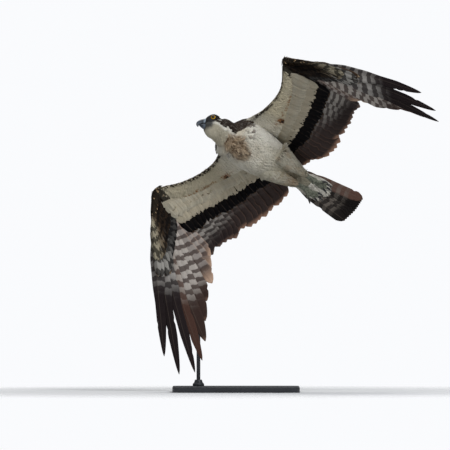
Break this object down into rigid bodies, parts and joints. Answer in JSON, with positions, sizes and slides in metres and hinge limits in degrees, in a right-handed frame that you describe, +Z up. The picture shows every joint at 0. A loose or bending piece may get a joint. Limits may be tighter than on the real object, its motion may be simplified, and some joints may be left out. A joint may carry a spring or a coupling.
{
  "type": "osprey in banked flight on a display stand",
  "caption": "Life-size osprey model in banked flight with bent wings, feet tucked under the tail, on a flat base with one rod.",
  "frame": {"origin": "middle of the stand's flat foot, on the surface that it rests on", "axes": "+Z up; the bird's belly faces -Y and its head points to -X; its left wing is raised to +Z"},
  "size_m": [0.7442, 0.6156, 0.8688],
  "materials": {
    "plumage": "matte",
    "flight": "matte",
    "horn": "satin",
    "skin": "matte",
    "iris": "gloss",
    "steel": "satin"
  },
  "bodies": {
    "root": {"bill_lower": "horn", "bill_upper": "horn", "claw_left_hind": "horn", "claw_left_inner": "horn", "claw_left_middle": "horn", "claw_left_outer": "horn", "claw_right_hind": "horn", "claw_right_inner": "horn", "claw_right_middle": "horn", "claw_right_outer": "horn", "eye_left": "iris", "eye_right": "iris", "foot_left": "skin", "foot_right": "skin", "head": "plumage", "neck": "plumage", "shank_left": "skin", "shank_right": "skin", "stand_base": "steel", "stand_collar": "steel", "stand_rod": "steel", "tail": "flight", "thigh_left": "plumage", "thigh_right": "plumage", "torso": "plumage", "wing_left_arm": "flight", "wing_left_hand": "flight", "wing_right_arm": "flight", "wing_right_hand": "flight"}
  },
  "joints": []
}
